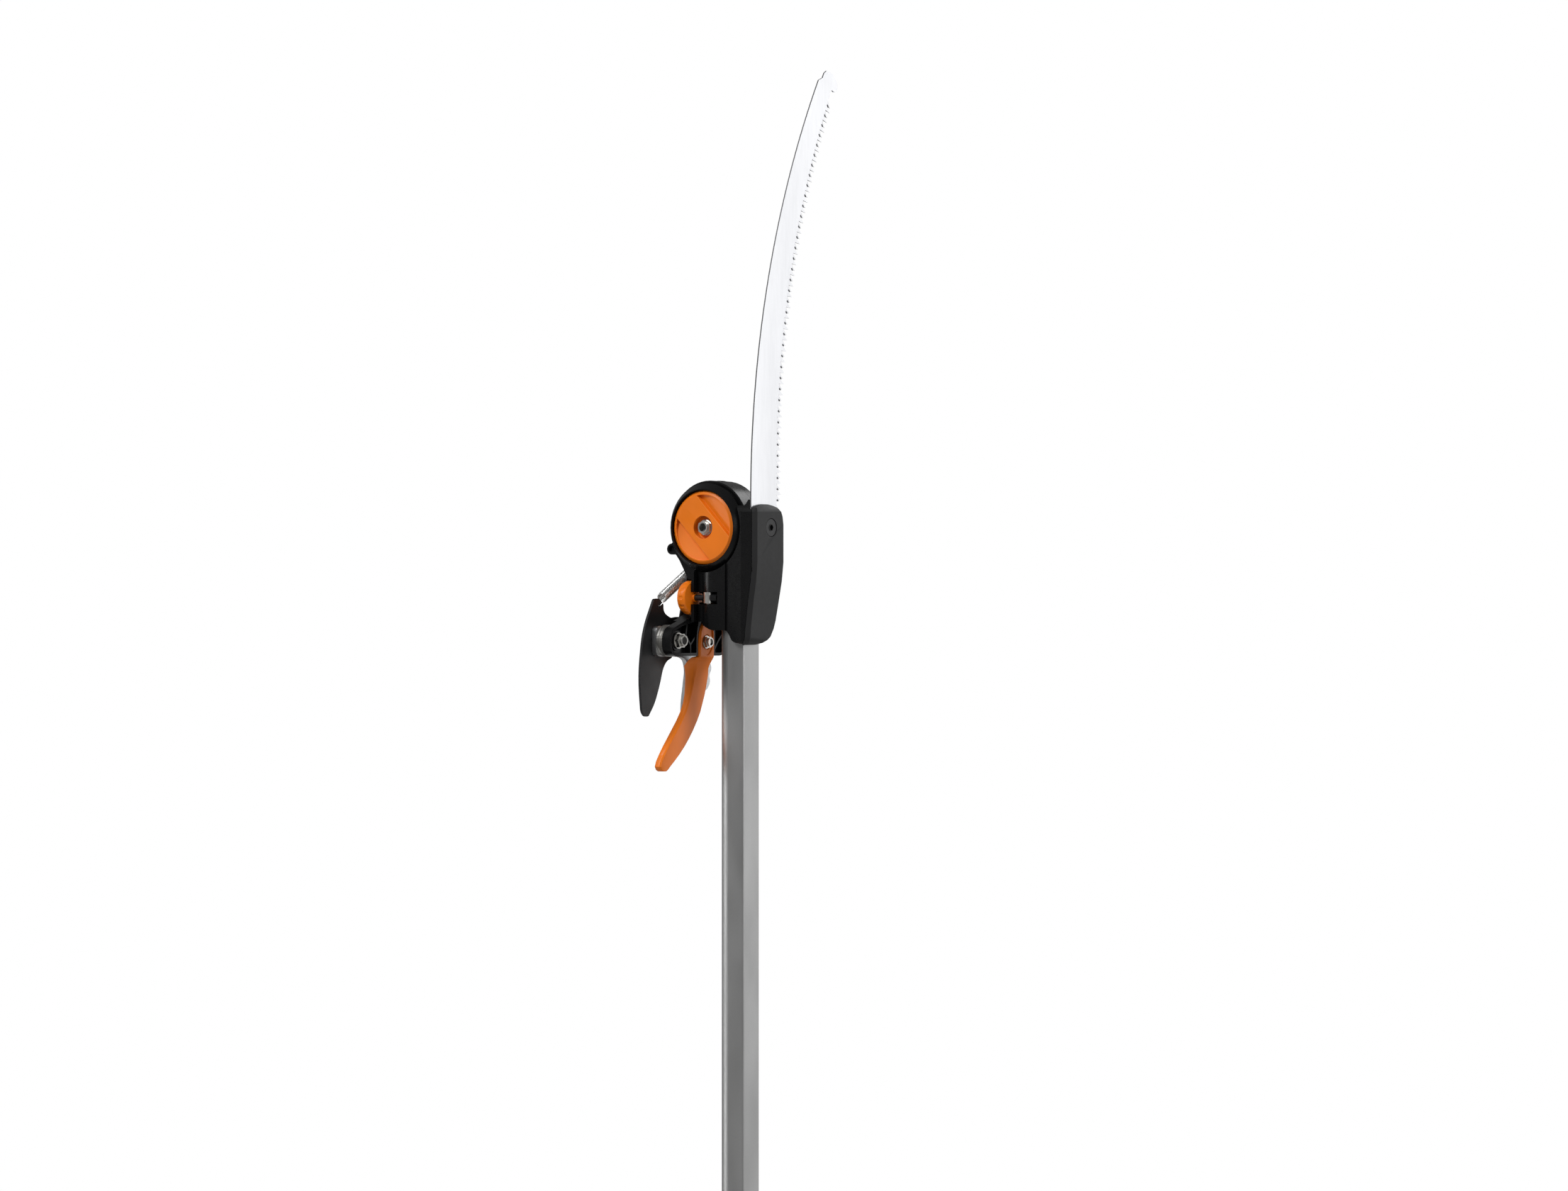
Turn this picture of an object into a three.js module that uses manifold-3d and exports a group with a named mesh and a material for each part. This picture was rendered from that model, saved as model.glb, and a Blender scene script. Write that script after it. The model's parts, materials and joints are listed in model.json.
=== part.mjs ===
// Telescoping pole saw with a folding pruner head.
// Millimetres, +Z up along the pole. The origin is the middle of the end cap's flat foot.
// -Y is the side of the round tilt knob, +X is the side of the saw blade and its cover.
import * as THREE from "three";
import { mergeVertices } from "three/addons/utils/BufferGeometryUtils.js";
import Module from "manifold-3d";

const wasm = await Module();
wasm.setup();

// ---------------------------------------------------------------- driving dimensions

const TILT_HEIGHT = 2230; // height of the head's tilt axis
const TILT_X = -21.3; // tilt axis, beside the pole, so that the raised head is in line with it
const WALL = 1.5; // wall of both aluminium tubes
const RUNNING_GAP = 0.35;
const TOUCH_GAP = 0.3;

// upper tube: round towards -X, flat towards +X
const TUBE = { centreX: -1.6, radius: 10.9, flatX: 12, halfFlat: 10.25, corner: 1.5 };
const LOWER_OFFSET = 1.5; // how far the lower tube's inside stands off the upper tube
const NOSE = { x: -13, radius: 6 }; // inside of the strap channel in the lower tube's nose
const UPPER_BOTTOM = 110;
const UPPER_TOP = -38; // below the tilt axis
const LOWER_BOTTOM = 12;
const LOWER_TOP = 1690;

const DRUM = { radius: 34.9, half: 7.3 }; // the neck's hub, between the arm's two cheeks
const REAR_CHEEK = { radius: 34.5, front: 7.65, back: 19 };
const FRONT_CHEEK = { rim: 28.7, radius: 33, step: 31.5, face: -16.1, cone: -10.8, back: -7.65 };
const KNOB = { radius: 27.4, face: -15.4, back: -9.8, recess: 8.5 };
const NECK = { leftX: -14.5, half: 12, rightX: 14.5, top: -20, bottom: -74 };
const SLEEVE = 3.1; // wall of the saw holder's sleeve round the neck

const PIVOT = { y: -25.3, z: -84 }; // the cutting blade's pivot
const HOOK_BOLT = { y: 6.6, z: -85.2 };
const BLADE_X = [-54.5, -52.5];
const HOOK_PLATE_X = [-52.3, -48.5];
const FRAME_X = [-44.7, -33.8];
const STRAP_PIN = { y: 0, z: -71 };

const SAW_X = [20.7, 22.3];
const SAW_SCREW = { y: 5.9, z: -0.2 };
const CLAMP = { x: -18.9, y: -11.6, z: -52.2, pin: 1.6, barrel: 3.6 }; // axis of the saw clamp's swing bolt

const BOLT_SIDES = 24;

// ---------------------------------------------------------------- solids

function solid(geometry) {
  const bare = geometry.clone();
  bare.deleteAttribute("normal");
  bare.deleteAttribute("uv");
  const merged = mergeVertices(bare, 1e-4);
  const triVerts = new Uint32Array(merged.index.array);
  const mesh = { numProp: 3, vertProperties: merged.attributes.position.array, triVerts };
  const made = new wasm.Manifold(new wasm.Mesh(mesh));
  if (made.volume() > 0) return made;
  for (let i = 0; i < triVerts.length; i += 3)
    [triVerts[i + 1], triVerts[i + 2]] = [triVerts[i + 2], triVerts[i + 1]];
  return new wasm.Manifold(new wasm.Mesh(mesh));
}

function geometryOf(body) {
  const mesh = body.getMesh();
  const geometry = new THREE.BufferGeometry();
  geometry.setAttribute("position", new THREE.BufferAttribute(mesh.vertProperties, 3));
  geometry.setIndex(new THREE.BufferAttribute(mesh.triVerts, 1));
  return geometry;
}

const join = (first, ...rest) => rest.reduce((all, one) => all.add(one), first);
const cut = (first, ...rest) => rest.reduce((all, one) => all.subtract(one), first);

// Local x, y and z of an extrusion, as row axes, for a plate that lies across each axis.
const ACROSS = {
  X: [[0, 1, 0], [0, 0, 1], [1, 0, 0]],
  Y: [[0, 0, 1], [1, 0, 0], [0, 1, 0]],
  Z: [[1, 0, 0], [0, 1, 0], [0, 0, 1]],
};

// An outline's corners are [a, b] or [a, b, r], where r rounds the corner.
function outline(corners) {
  const shape = new THREE.Shape();
  const points = corners.map(([a, b]) => new THREE.Vector2(a, b));
  corners.forEach(([, , radius = 0], i) => {
    const here = points[i];
    const before = points[(i + points.length - 1) % points.length];
    const after = points[(i + 1) % points.length];
    const reach = Math.min(radius, here.distanceTo(before) / 2, here.distanceTo(after) / 2);
    const start = here.clone().lerp(before, reach / here.distanceTo(before));
    const end = here.clone().lerp(after, reach / here.distanceTo(after));
    if (i === 0) shape.moveTo(start.x, start.y);
    else shape.lineTo(start.x, start.y);
    if (reach > 0) shape.quadraticCurveTo(here.x, here.y, end.x, end.y);
  });
  shape.closePath();
  return shape;
}

function circle(a, b, radius) {
  return new THREE.Shape().absarc(a, b, radius, 0, 2 * Math.PI, false);
}

// Extrudes a shape across an axis. Across Y the shape is read as (z, x), across X as (y, z).
function plate(axis, shape, [from, to], curveSegments = 5) {
  const settings = { depth: to - from, bevelEnabled: false, curveSegments };
  const geometry = new THREE.ExtrudeGeometry(shape, settings);
  const [x, y, z] = ACROSS[axis].map((v) => new THREE.Vector3(...v));
  geometry.translate(0, 0, from);
  return solid(geometry.applyMatrix4(new THREE.Matrix4().makeBasis(x, y, z)));
}

// A plate across Y whose corners are given as [x, z, r].
const plateY = (corners, span, segments) =>
  plate("Y", outline(corners.map(([x, z, r]) => [z, x, r])), span, segments);

function box([x0, x1], [y0, y1], [z0, z1]) {
  const geometry = new THREE.BoxGeometry(x1 - x0, y1 - y0, z1 - z0);
  return solid(geometry.translate((x0 + x1) / 2, (y0 + y1) / 2, (z0 + z1) / 2));
}

// Turns a closed profile of [radius, distance along the axis] about an axis through a point.
const TURN = {
  X: new THREE.Matrix4().makeRotationZ(-Math.PI / 2),
  Y: new THREE.Matrix4(),
  Z: new THREE.Matrix4().makeRotationX(Math.PI / 2),
};
function turned(axis, [x, y, z], profile, sides = 40) {
  const points = [...profile, profile[0]].map(([r, h]) => new THREE.Vector2(r, h));
  const geometry = new THREE.LatheGeometry(points, sides);
  return solid(geometry.applyMatrix4(TURN[axis]).translate(x, y, z));
}

// A plain round rod between two distances along an axis.
const rod = (axis, at, radius, [from, to], sides = BOLT_SIDES) =>
  turned(axis, at, [[0, from], [radius, from], [radius, to], [0, to]], sides);

const ring = (axis, at, outer, inner, [from, to], sides = BOLT_SIDES) =>
  turned(axis, at, [[inner, from], [outer, from], [outer, to], [inner, to]], sides);

// Skins a row of equal-length point loops, each an array of [x, y, z], and caps both ends.
function loft(loops) {
  const count = loops[0].length;
  const points = loops.flat();
  const index = [];
  for (let level = 0; level + 1 < loops.length; level++)
    for (let i = 0; i < count; i++) {
      const a = level * count + i;
      const b = level * count + ((i + 1) % count);
      index.push(a, b, b + count, a, b + count, a + count);
    }
  const last = (loops.length - 1) * count;
  for (let i = 1; i + 1 < count; i++) {
    index.push(0, i + 1, i);
    index.push(last, last + i, last + i + 1);
  }
  const geometry = new THREE.BufferGeometry();
  geometry.setAttribute("position", new THREE.Float32BufferAttribute(points.flat(), 3));
  geometry.setIndex(index);
  return solid(geometry);
}

// An upright bar: each level is [z, x0, x1, y0, y1], with its corners cut off by a chamfer.
function bar(levels, chamfer) {
  return loft(
    levels.map(([z, x0, x1, y0, y1]) => {
      const c = Math.min(chamfer, (x1 - x0) / 3, (y1 - y0) / 3);
      return [
        [x0 + c, y0, z], [x1 - c, y0, z], [x1, y0 + c, z], [x1, y1 - c, z],
        [x1 - c, y1, z], [x0 + c, y1, z], [x0, y1 - c, z], [x0, y0 + c, z],
      ];
    }),
  );
}

// ---------------------------------------------------------------- fasteners

const hexagon = (a, b, acrossFlats) => {
  const reach = acrossFlats / Math.sqrt(3);
  const corner = (i) => [a + reach * Math.cos((i * Math.PI) / 3), b + reach * Math.sin((i * Math.PI) / 3)];
  return outline([0, 1, 2, 3, 4, 5].map(corner));
};

// A flanged lock nut along X or Y: `seat` is its washer face, and it grows towards `top`.
function lockNut(axis, [a, b], thread, flats, [seat, top]) {
  const way = Math.sign(top - seat);
  const between = (from, to) => [Math.min(from, to), Math.max(from, to)];
  const collarSeat = seat + (top - seat) * 0.66;
  const centre = axis === "X" ? [0, a, b] : [b, 0, a];
  const hex = plate(axis, hexagon(a, b, flats), between(seat, collarSeat));
  const flange = rod(axis, centre, flats * 0.6, between(seat, seat + way), 28);
  const collar = rod(axis, centre, flats * 0.42, between(collarSeat - way * 0.5, top), 20);
  return cut(join(hex, flange, collar), rod(axis, centre, thread, [-60, 60], BOLT_SIDES));
}

// ---------------------------------------------------------------- tube sections

// Outline of the upper tube, grown outwards by `grow`; `nose` adds the lower tube's strap channel.
function tubeShape(grow, nose = false) {
  const { centreX, radius, flatX, halfFlat, corner } = TUBE;
  const r = radius + grow;
  const x = flatX + grow;
  const y = halfFlat + grow;
  const c = corner + grow / 2;
  const shape = new THREE.Shape();
  shape.moveTo(x, -y + c);
  shape.lineTo(x, y - c);
  shape.quadraticCurveTo(x, y, x - c, y);
  shape.lineTo(centreX, r);
  if (nose) {
    const noseRadius = NOSE.radius + grow - LOWER_OFFSET;
    const lean = Math.acos((r - noseRadius) / (centreX - NOSE.x));
    const from = Math.PI - lean;
    shape.absarc(centreX, 0, r, Math.PI / 2, from, false);
    shape.absarc(NOSE.x, 0, noseRadius, from, 2 * Math.PI - from, false);
    shape.absarc(centreX, 0, r, 2 * Math.PI - from, 1.5 * Math.PI, false);
  } else {
    shape.absarc(centreX, 0, r, Math.PI / 2, 1.5 * Math.PI, false);
  }
  shape.lineTo(x - c, -y);
  shape.quadraticCurveTo(x, -y, x, -y + c);
  return shape;
}

const tubeSolid = (grow, span, nose = false) => plate("Z", tubeShape(grow, nose), span, nose ? 6 : 12);

// The lower tube's outline at a list of [z, grow] levels, skinned into one solid.
function tubeLoft(levels) {
  return loft(
    levels.map(([z, grow]) => tubeShape(grow, true).getPoints(5).slice(0, -1).map((p) => [p.x, p.y, z])),
  );
}

// ---------------------------------------------------------------- materials and nodes

const finish = (color, roughness, metalness) => () =>
  new THREE.MeshStandardMaterial({ color, roughness, metalness });
const blackPlastic = finish(0x1b1b1c, 0.45, 0);
const blackSteel = finish(0x222222, 0.35, 0.6);
const orangePlastic = finish(0xe07514, 0.4, 0);
const rubber = finish(0x151515, 0.8, 0);
const aluminium = finish(0x9c9c9c, 0.4, 0.9);
const steel = finish(0xc9ccd0, 0.3, 1);
const strapWeave = finish(0x26262a, 0.9, 0);

const pole = new THREE.Group();
const head = new THREE.Group();
head.position.z = TILT_HEIGHT;
pole.add(head);

function node(group, name, body, material) {
  const mesh = new THREE.Mesh(geometryOf(body), material());
  mesh.name = name;
  group.add(mesh);
}

// ---------------------------------------------------------------- lower tube and its fittings

const LOWER_OUTSIDE = LOWER_OFFSET + WALL;
const SLOT = { half: 3.5, bottom: 640, top: 1010 }; // the handle's key runs in it

const lowerTube = cut(
  tubeSolid(LOWER_OUTSIDE, [LOWER_BOTTOM, LOWER_TOP], true),
  tubeSolid(LOWER_OFFSET, [LOWER_BOTTOM - 1, LOWER_TOP + 1], true),
  box([-30, NOSE.x - 3], [-SLOT.half, SLOT.half], [SLOT.bottom, SLOT.top]),
);
node(pole, "lower_tube", lowerTube, aluminium);

const CAP_PLUG_TOP = 34;
const endCap = join(
  tubeLoft([
    [0, LOWER_OUTSIDE - 1.5], [3, LOWER_OUTSIDE + 1.2], [LOWER_BOTTOM - TOUCH_GAP, LOWER_OUTSIDE + 1.2],
  ]),
  tubeSolid(LOWER_OFFSET - TOUCH_GAP, [5, CAP_PLUG_TOP], true),
);
node(pole, "end_cap", endCap, rubber);

const GRIP = { bottom: 60, top: 330, ribs: 8 };
const gripLevels = [[GRIP.bottom, LOWER_OUTSIDE + 2], [GRIP.bottom + 6, LOWER_OUTSIDE + 4]];
for (let i = 0; i < GRIP.ribs; i++) {
  const z = GRIP.bottom + 20 + (i * (GRIP.top - GRIP.bottom - 40)) / (GRIP.ribs - 1);
  gripLevels.push([z - 5, LOWER_OUTSIDE + 3.2], [z + 5, LOWER_OUTSIDE + 3.9]);
}
gripLevels.push([GRIP.top - 6, LOWER_OUTSIDE + 4], [GRIP.top, LOWER_OUTSIDE + 2]);
const aroundLowerTube = (span) => tubeSolid(LOWER_OUTSIDE + TOUCH_GAP, span, true);
node(pole, "lower_grip", cut(tubeLoft(gripLevels), aroundLowerTube([GRIP.bottom - 1, GRIP.top + 1])), rubber);

// telescope lock: a split collar, drawn together by a cam lever
const COLLAR = { bottom: 1640, lip: LOWER_TOP + TOUCH_GAP, top: 1712, wall: 4 };
const LOCK_Z = 1666;
const LUG = { x0: 14, x1: 32, y: 6.5, z: [LOCK_Z - 15, LOCK_Z + 15] };
const LOCK_BOLT_X = 25.6;
const LOCK_PIN_Y = 13.5;
const collarBody = tubeLoft([
  [COLLAR.bottom, LOWER_OUTSIDE + COLLAR.wall - 1.5],
  [COLLAR.bottom + 3, LOWER_OUTSIDE + COLLAR.wall],
  [COLLAR.top - 8, LOWER_OUTSIDE + COLLAR.wall],
  [COLLAR.top, LOWER_OUTSIDE + COLLAR.wall - 4],
]);
const lockCollar = cut(
  join(collarBody, box([LUG.x0, LUG.x1], [-LUG.y, LUG.y], LUG.z)),
  aroundLowerTube([COLLAR.bottom - 1, COLLAR.lip]),
  tubeSolid(RUNNING_GAP + 0.3, [COLLAR.lip - 1, COLLAR.top + 1]),
  box([10, LUG.x1 + 1], [-1, 1], [COLLAR.bottom - 1, COLLAR.lip]),
  rod("Y", [LOCK_BOLT_X, 0, LOCK_Z], 2.8, [-20, 20]),
);
node(pole, "lock_collar", lockCollar, blackPlastic);

const guideBush = cut(
  tubeSolid(LOWER_OFFSET - 0.2, [LOWER_TOP - 60, LOWER_TOP - 1], true),
  tubeSolid(RUNNING_GAP, [LOWER_TOP - 61, LOWER_TOP]),
);
node(pole, "guide_bush", guideBush, blackPlastic);

const PIN_RADIUS = 3.4;
const lockPin = cut(
  rod("Z", [LOCK_BOLT_X, LOCK_PIN_Y, 0], PIN_RADIUS, [LOCK_Z - 13, LOCK_Z + 13]),
  rod("Y", [LOCK_BOLT_X, 0, LOCK_Z], 2.8, [0, LOCK_PIN_Y + 2]),
);
node(pole, "lock_pin", lockPin, steel);
const lockBolt = join(
  rod("Y", [LOCK_BOLT_X, 0, LOCK_Z], 2.5, [-8, LOCK_PIN_Y + 1.5]),
  rod("Y", [LOCK_BOLT_X, 0, LOCK_Z], 4.6, [-LUG.y - 3.6, -LUG.y - TOUCH_GAP]),
);
node(pole, "lock_bolt", lockBolt, steel);

// cam lever: closed, its paddle lies along the collar's +Y side
const CAM = 4.9;
const PADDLE_Y = LOCK_PIN_Y + 5.4;
const leverShape = outline([
  [LOCK_BOLT_X + CAM, LOCK_PIN_Y - CAM + 0.3, 6], [LOCK_BOLT_X + CAM, PADDLE_Y + 3, 5],
  [-6, PADDLE_Y + 4.6, 8], [-23, PADDLE_Y + 7, 2.5], [-23, PADDLE_Y + 3.4, 2],
  [-5, PADDLE_Y + 1.2, 8], [LOCK_BOLT_X - CAM, PADDLE_Y, 2], [LOCK_BOLT_X - CAM, LOCK_PIN_Y - CAM + 0.3, 4],
]);
const lockLever = cut(
  plate("Z", leverShape, [LOCK_Z - 12, LOCK_Z + 12]),
  rod("Z", [LOCK_BOLT_X, LOCK_PIN_Y, 0], PIN_RADIUS + 0.15, [LOCK_Z - 14, LOCK_Z + 14]),
  box(
    [LOCK_BOLT_X - 3.2, LOCK_BOLT_X + 20], [LOCK_PIN_Y - 12, LOCK_PIN_Y + 6.4],
    [LOCK_Z - 3.4, LOCK_Z + 3.4],
  ),
);
node(pole, "lock_lever", lockLever, orangePlastic);

// ---------------------------------------------------------------- sliding handle

const HANDLE = { bottom: 890, top: 1070 };
const HANDLE_BORE = LOWER_OUTSIDE + RUNNING_GAP;
const KEY = { x: [-24.6, -14.6], half: 3.1, z: [950, 1000] };
// each end flares out to a rim: [distance from the end, height above the lower tube]
const flare = [[0, 6], [5, 9], [12, 8], [24, 4.6]];
const handleSkin = tubeLoft([
  ...flare.map(([inset, rise]) => [HANDLE.bottom + inset, LOWER_OUTSIDE + rise]),
  ...flare.toReversed().map(([inset, rise]) => [HANDLE.top - inset, LOWER_OUTSIDE + rise]),
]);
const SCREW_X = 19.5;
const screwHeights = [HANDLE.bottom + 9, HANDLE.top - 9];
const throughHandle = (radius, span) => screwHeights.map((z) => rod("Y", [SCREW_X, 0, z], radius, span, 16));
const handleShell = cut(
  handleSkin,
  tubeSolid(HANDLE_BORE, [HANDLE.bottom - 1, HANDLE.top + 1], true),
  box([KEY.x[0] - TOUCH_GAP, -10], [-KEY.half - TOUCH_GAP, KEY.half + TOUCH_GAP],
    [KEY.z[0] - TOUCH_GAP, KEY.z[1] + TOUCH_GAP]),
  ...throughHandle(2.1, [-40, 12]),
  ...throughHandle(4, [-40, -12]),
);
for (const [side, name] of [[-1, "handle_front"], [1, "handle_rear"]]) {
  const reach = side < 0 ? [-60, -0.15] : [0.15, 60];
  const half = handleShell.intersect(box([-60, 60], reach, [HANDLE.bottom - 1, HANDLE.top + 1]));
  node(pole, name, half, orangePlastic);
}
throughHandle(1.8, [-12.2, 11.6]).forEach((shank, i) => {
  const screwHead = rod("Y", [SCREW_X, 0, screwHeights[i]], 3.7, [-14.6, -12.1], 20);
  node(pole, "handle_screw_" + (i + 1), join(shank, screwHead), steel);
});
const sleeveOuter = tubeLoft([
  [HANDLE.bottom + 28, LOWER_OUTSIDE + 5.6], [HANDLE.bottom + 32, LOWER_OUTSIDE + 6.8],
  [HANDLE.bottom + 90, LOWER_OUTSIDE + 7.8], [HANDLE.top - 32, LOWER_OUTSIDE + 6.8],
  [HANDLE.top - 28, LOWER_OUTSIDE + 5.6],
]);
const sleeveBore = tubeSolid(LOWER_OUTSIDE + 4.6 + TOUCH_GAP, [HANDLE.bottom, HANDLE.top], true);
const handleGrip = cut(sleeveOuter, sleeveBore);
node(pole, "handle_grip", handleGrip, rubber);
const handleKey = box(KEY.x, [-KEY.half, KEY.half], KEY.z);
node(pole, "handle_key", handleKey, blackPlastic);

// ---------------------------------------------------------------- upper tube

const topOfTube = TILT_HEIGHT + UPPER_TOP;
const upperTube = cut(
  tubeSolid(0, [UPPER_BOTTOM, topOfTube]),
  tubeSolid(-WALL, [UPPER_BOTTOM - 1, topOfTube + 1]),
);
node(pole, "upper_tube", upperTube, aluminium);
const endBush = cut(
  tubeSolid(LOWER_OFFSET - 0.35, [UPPER_BOTTOM - 8, UPPER_BOTTOM + 30]),
  tubeSolid(TOUCH_GAP, [UPPER_BOTTOM - TOUCH_GAP, UPPER_BOTTOM + 31]),
  tubeSolid(-3, [UPPER_BOTTOM - 9, UPPER_BOTTOM]),
);
node(pole, "tube_end_bush", endBush, blackPlastic);

// ---------------------------------------------------------------- strap and its pulley

const PULLEY = { groove: 15, flange: 17, half: 4.3, bore: 5.2 };
const STRAP = { thick: 1.2, half: 3.5 };
const strapRadius = PULLEY.groove + STRAP.thick / 2 + 0.15;
const leaveAngle = (168.3 * Math.PI) / 180;
const strapRight = TILT_X + strapRadius;

// A band of the strap's thickness through centre points [x, z], lying across Y.
function band(points, thick, half) {
  const side = (way) =>
    points.map(([x, z], i) => {
      const [ax, az] = points[Math.max(i - 1, 0)];
      const [bx, bz] = points[Math.min(i + 1, points.length - 1)];
      const length = Math.hypot(bx - ax, bz - az);
      return [x - (way * thick * (bz - az)) / 2 / length, z + (way * thick * (bx - ax)) / 2 / length];
    });
  return plateY([...side(1), ...side(-1).reverse()], [-half, half]);
}

const wrapPoints = [];
const WRAP_STEPS = 10;
for (let i = 0; i <= WRAP_STEPS; i++) {
  const angle = (leaveAngle * i) / WRAP_STEPS;
  wrapPoints.push([TILT_X + strapRadius * Math.cos(angle), strapRadius * Math.sin(angle)]);
}
const [leaveX, leaveZ] = wrapPoints[WRAP_STEPS];
const strapEndZ = STRAP_PIN.z + 3.5;
const strapFall = (leaveZ - strapEndZ) / -Math.cos(leaveAngle);
const strapEnd = [leaveX - Math.sin(leaveAngle) * strapFall, strapEndZ];
const leaveGap = TOUCH_GAP / strapFall;
const headRunTop = [0, 1].map((i) => [leaveX, leaveZ][i] * (1 - leaveGap) + strapEnd[i] * leaveGap);
const headStrapPath = [...wrapPoints, strapEnd];
node(head, "strap_wrap", band(wrapPoints, STRAP.thick, STRAP.half), strapWeave);
node(head, "strap_head_run", band([headRunTop, strapEnd], STRAP.thick, STRAP.half), strapWeave);
const poleStrapTop = -TOUCH_GAP;
const poleStrapBottom = UPPER_BOTTOM + 12 - TILT_HEIGHT;
const poleStrap = box(
  [strapRight - STRAP.thick / 2, strapRight + STRAP.thick / 2], [-STRAP.half, STRAP.half],
  [poleStrapBottom, poleStrapTop],
);
node(head, "strap_pole_run", poleStrap, strapWeave);
const strapRoomPath = [...headStrapPath, [strapEnd[0] - 0.5, strapEnd[1] - 3]];
const strapRoom = band(strapRoomPath, STRAP.thick + 2, STRAP.half + 0.7);

const axisAt = [TILT_X, 0, 0];
const pulley = turned("Y", axisAt, [
  [PULLEY.bore, -PULLEY.half], [PULLEY.flange, -PULLEY.half], [PULLEY.flange, -STRAP.half - 0.2],
  [PULLEY.groove, -STRAP.half - 0.2], [PULLEY.groove, STRAP.half + 0.2], [PULLEY.flange, STRAP.half + 0.2],
  [PULLEY.flange, PULLEY.half], [PULLEY.bore, PULLEY.half],
], 32);
node(head, "strap_pulley", pulley, blackPlastic);

// ---------------------------------------------------------------- tilt joint

const bush = ring("Y", axisAt, 5, 3.15, [FRONT_CHEEK.back + TOUCH_GAP, REAR_CHEEK.front - TOUCH_GAP]);
node(head, "tilt_bush", bush, steel);
const tiltBolt = join(
  rod("Y", axisAt, 3, [-11.8, REAR_CHEEK.back + 1]),
  rod("Y", axisAt, 8, [REAR_CHEEK.back + TOUCH_GAP, REAR_CHEEK.back + 3.6]),
);
node(head, "tilt_bolt", tiltBolt, steel);
node(head, "tilt_nut", lockNut("Y", [0, TILT_X], 3.1, 10, [-10.8, -15.8]), steel);

const tiltKnob = turned("Y", axisAt, [
  [3.3, -10.5], [KNOB.recess, -10.5], [KNOB.recess, KNOB.face], [KNOB.radius - 2.4, KNOB.face],
  [KNOB.radius, KNOB.face + 1.6], [KNOB.radius, KNOB.back], [3.3, KNOB.back],
], 48);
// two finger recesses, either side of a grip bar that runs from upper left to lower right
const FINGER = { chord: 13.3, slope: 0.22, depth: 3 };
const fingers = [1, -1].map((side) => {
  const rim = KNOB.radius - 2.8;
  const spread = 1.02;
  const shape = new THREE.Shape();
  shape.absarc(0, 0, rim, -spread, spread, false);
  shape.closePath();
  const geometry = new THREE.ExtrudeGeometry(shape, { depth: 6, bevelEnabled: false, curveSegments: 14 });
  geometry.translate(-FINGER.chord, 0, 0).rotateY(-FINGER.slope).translate(FINGER.chord, 0, 0);
  geometry.rotateZ(side > 0 ? 0 : Math.PI);
  geometry.rotateX(Math.PI / 2);
  geometry.rotateY(THREE.MathUtils.degToRad(-44));
  return solid(geometry.translate(TILT_X, KNOB.face + FINGER.depth, 0));
});
node(head, "tilt_knob", cut(tiltKnob, ...fingers), orangePlastic);

// neck: an obround post under the tilt joint that the upper tube is fixed in
function neckShape(grow) {
  const r = NECK.half + grow;
  const x = NECK.rightX + grow;
  const shape = new THREE.Shape();
  shape.moveTo(x, -r + 2);
  shape.lineTo(x, r - 2);
  shape.quadraticCurveTo(x, r, x - 2, r);
  shape.lineTo(NECK.leftX, r);
  shape.absarc(NECK.leftX, 0, r, Math.PI / 2, 1.5 * Math.PI, false);
  shape.lineTo(x - 2, -r);
  shape.quadraticCurveTo(x, -r, x, -r + 2);
  return shape;
}
const drumRoom = (radius, span) => rod("Y", axisAt, radius, span, 48);

// A wedge of the drum's middle plane between two angles, for the strap to swing through.
function strapWedge(from, to) {
  const corners = [[TILT_X, 0]];
  for (let angle = from; angle <= to; angle += 15) {
    const turn = THREE.MathUtils.degToRad(angle);
    corners.push([TILT_X + 40 * Math.cos(turn), 40 * Math.sin(turn)]);
  }
  return plateY(corners, [-STRAP.half - 0.8, STRAP.half + 0.8]);
}

const hub = turned("Y", axisAt, [
  [5.15, -DRUM.half], [DRUM.radius - 0.8, -DRUM.half], [DRUM.radius, -DRUM.half + 0.8],
  [DRUM.radius, DRUM.half - 0.8], [DRUM.radius - 0.8, DRUM.half], [5.15, DRUM.half],
], 56);
const neckPost = cut(
  plate("Z", neckShape(0), [NECK.bottom, NECK.top], 12),
  drumRoom(DRUM.radius + 0.6, [DRUM.half, 30]),
  drumRoom(DRUM.radius + 0.6, [-30, -DRUM.half]),
);
const pulleyRoom = [-DRUM.half - 1, PULLEY.half + 0.4];
const neckHousing = cut(
  join(neckPost, hub),
  rod("Y", axisAt, PULLEY.flange + 1.2, pulleyRoom, 40),
  strapWedge(75, 240),
  tubeSolid(TOUCH_GAP, [NECK.bottom - 1, UPPER_TOP + TOUCH_GAP]),
  box([strapRight - 2, strapRight + 2], [-STRAP.half - 1, STRAP.half + 1], [UPPER_TOP - 1, 0]),
  box([-28, -13.2], [-14, -7.2], [-64.5, -41]),
  box([-14, -9], [-14, -7.6], [-57, -47.9]),
);
node(head, "neck_housing", neckHousing, blackPlastic);
const pulleyCover = ring("Y", axisAt, PULLEY.flange + 0.9, 5.3, [-DRUM.half, -PULLEY.half - TOUCH_GAP], 40);
node(head, "pulley_cover", pulleyCover, blackPlastic);

// ---------------------------------------------------------------- swing arm

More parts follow.
